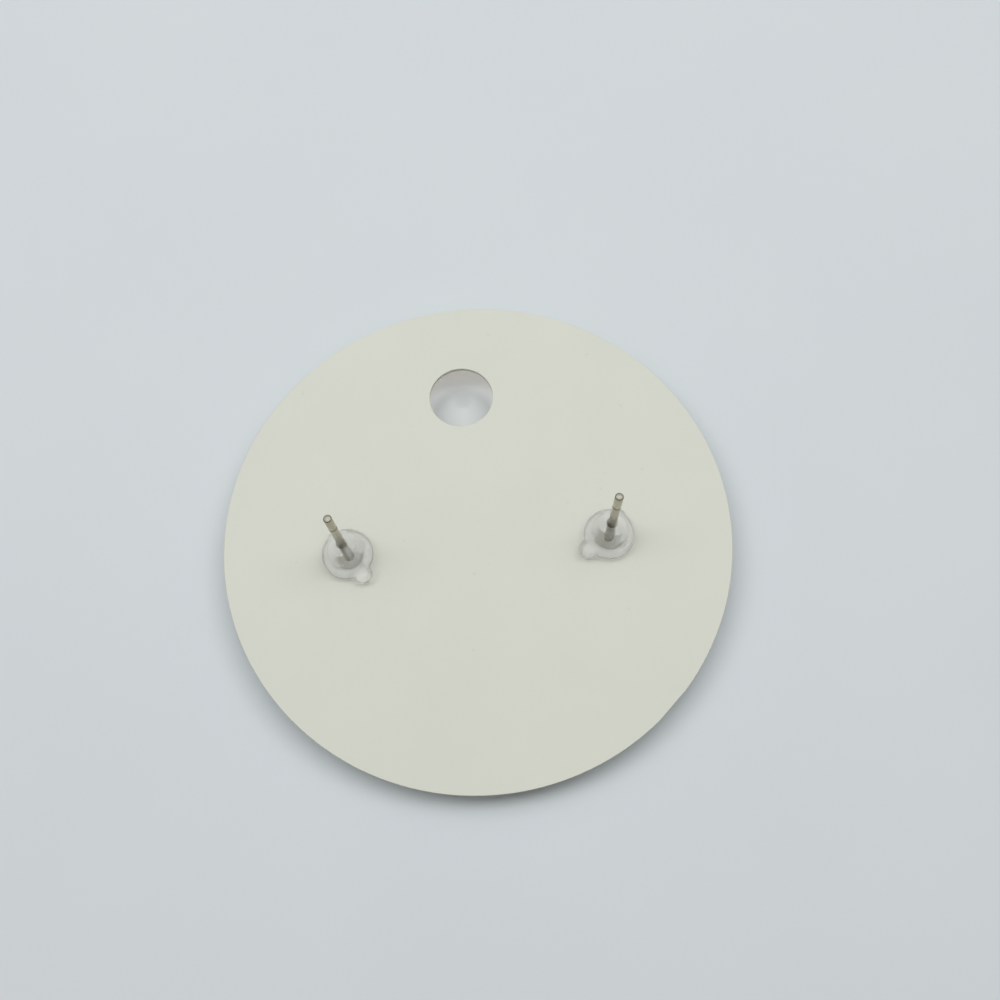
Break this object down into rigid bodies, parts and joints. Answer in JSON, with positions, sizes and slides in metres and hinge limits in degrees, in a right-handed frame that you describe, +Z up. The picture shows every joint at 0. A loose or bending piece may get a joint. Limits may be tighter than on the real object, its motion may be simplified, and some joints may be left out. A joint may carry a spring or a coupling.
{
  "type": "pair of stud earrings on a round card",
  "caption": "Pair of post studs on a round card with a hang hole, lying face down, each post held behind the card by a clear push-on ear nut.",
  "frame": {"origin": "on the surface that the object lies on, straight under the centre of the card's circle", "axes": "+Z up, out of the card's back, along the posts; +Y from the card's centre to its hang hole; +X to the right post"},
  "size_m": [0.05, 0.05, 0.0152],
  "materials": {
    "card_paper": "matte cream card, uncoated, with a clean cut edge",
    "stud_metal": "plain silver-grey metal with a soft sheen",
    "clear_plastic": "clear colourless moulded plastic, glossy"
  },
  "bodies": {
    "card_with_studs": {"card": "card_paper", "left_stud": "stud_metal", "right_stud": "stud_metal"},
    "left_nut": {"left_ear_nut": "clear_plastic"},
    "right_nut": {"right_ear_nut": "clear_plastic"}
  },
  "joints": [
    {"name": "left_nut_slide", "type": "slide", "parent": "card_with_studs", "child": "left_nut", "axis": [0, 0, 1], "range_m": [0, 0.0108]},
    {"name": "right_nut_slide", "type": "slide", "parent": "card_with_studs", "child": "right_nut", "axis": [0, 0, 1], "range_m": [0, 0.0108]}
  ]
}
